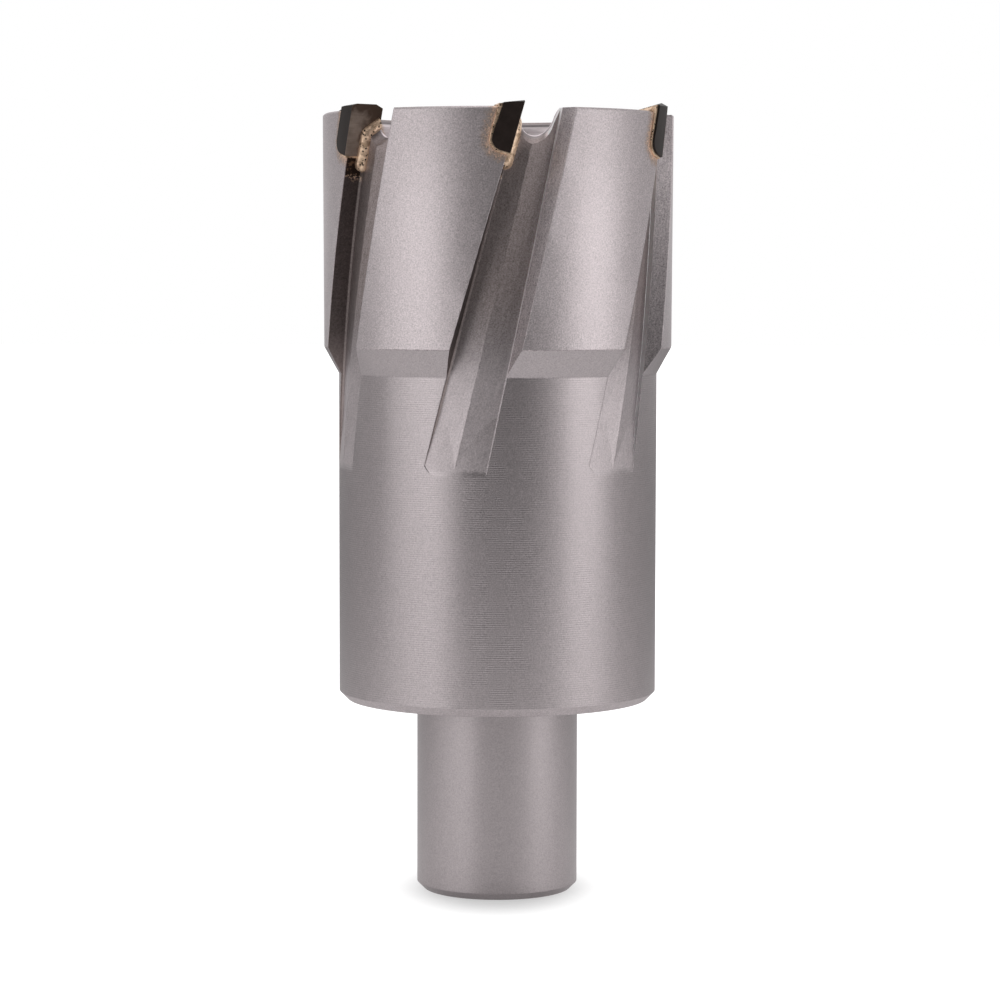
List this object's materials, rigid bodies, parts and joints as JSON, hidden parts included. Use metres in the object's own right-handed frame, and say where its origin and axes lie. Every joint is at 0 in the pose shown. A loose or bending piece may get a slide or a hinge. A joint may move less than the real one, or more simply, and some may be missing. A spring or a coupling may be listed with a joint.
{
  "type": "annular cutter",
  "caption": "Carbide-tipped annular cutter: a hollow fluted steel cylinder with brazed cutting tips on its open end and a plain shank with drive flats, for cutting round holes in plate.",
  "frame": {"origin": "centre of the shank's end face, on the cutter's axis", "axes": "+Z along the axis from the shank's end to the teeth; -Y to the picture's camera; +X to the right in the picture"},
  "size_m": [0.0412, 0.042, 0.0926],
  "materials": {
    "body_steel": "blasted crown, finely turned barrel, ground shank",
    "carbide": null,
    "braze_filler": "golden filler metal, as it set"
  },
  "bodies": {
    "root": {"cutter_body": "body_steel", "carbide_tip_1": "carbide", "carbide_tip_2": "carbide", "carbide_tip_3": "carbide", "carbide_tip_4": "carbide", "carbide_tip_5": "carbide", "carbide_tip_6": "carbide", "braze_1": "braze_filler", "braze_2": "braze_filler", "braze_3": "braze_filler", "braze_4": "braze_filler", "braze_5": "braze_filler", "braze_6": "braze_filler"}
  },
  "joints": []
}
